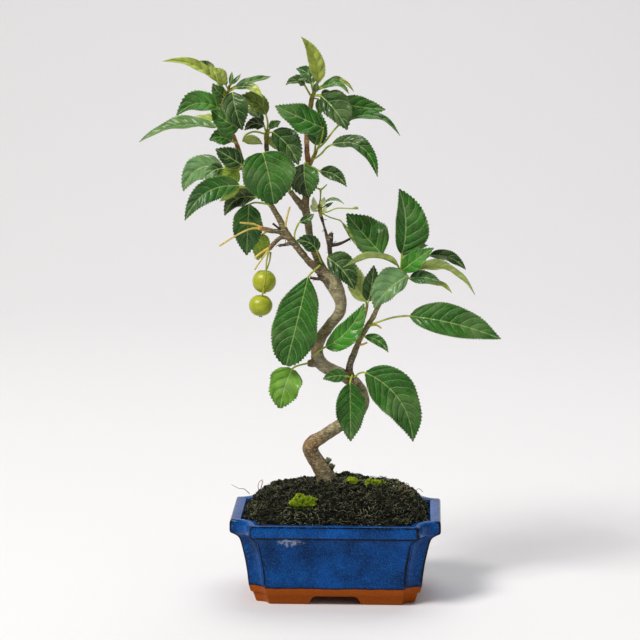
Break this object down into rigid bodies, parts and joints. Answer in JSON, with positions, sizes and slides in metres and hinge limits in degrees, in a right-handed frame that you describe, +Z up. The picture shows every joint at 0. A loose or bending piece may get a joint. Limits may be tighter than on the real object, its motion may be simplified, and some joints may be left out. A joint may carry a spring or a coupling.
{
  "type": "crabapple bonsai",
  "caption": "Small fruiting bonsai: a bent trunk with leafy shoots and hanging crabapples, rooted in mounded soil in a footed, blue glazed rectangular pot with scooped corners",
  "frame": {"origin": "middle of the bottom of the whole object's box, on the surface that the pot stands on", "axes": "+Z up along the plant's height; -Y is the front that the picture shows; +X to the right of someone looking at the front, along the pot's long side"},
  "size_m": [0.2656, 0.115, 0.4142],
  "materials": {
    "blue_glaze": "glossy speckled cobalt glaze over an unglazed terracotta foot",
    "potting_soil": "rough, crumbly and nearly black",
    "bark": "dull grey-brown bark",
    "leaf_green": "waxy, with a soft sheen",
    "apple_skin": "smooth waxy fruit skin",
    "moss": "dull and velvety"
  },
  "bodies": {
    "root": {"pot": "blue_glaze", "soil": "potting_soil", "trunk": "bark", "left_crown_spray": "leaf_green", "second_twig_spray": "leaf_green", "right_crown_spray": "leaf_green", "right_middle_spray": "leaf_green", "bud_cluster": "leaf_green", "left_middle_spray": "leaf_green", "leader_side_leaf": "leaf_green", "left_long_leaf_spray": "leaf_green", "left_dark_leaf": "leaf_green", "left_hanging_leaf": "leaf_green", "front_leaf": "leaf_green", "dark_fold_leaf": "leaf_green", "right_small_leaf": "leaf_green", "spur_leaf": "leaf_green", "leader_leaf": "leaf_green", "dead_spur_leaf": "leaf_green", "right_branch_spray": "leaf_green", "branch_leaf_pair": "leaf_green", "long_right_leaf": "leaf_green", "branch_small_leaf": "leaf_green", "trunk_leaf_right": "leaf_green", "big_hanging_leaf": "leaf_green", "round_leaf": "leaf_green", "small_trunk_leaf": "leaf_green", "hanging_trunk_leaf": "leaf_green", "lower_right_leaf": "leaf_green", "spur_hanging_leaf": "leaf_green", "crabapple_upper": "apple_skin", "crabapple_lower": "apple_skin", "moss_clump_left": "moss", "moss_clump_right": "moss", "moss_clump_middle": "moss"}
  },
  "joints": []
}
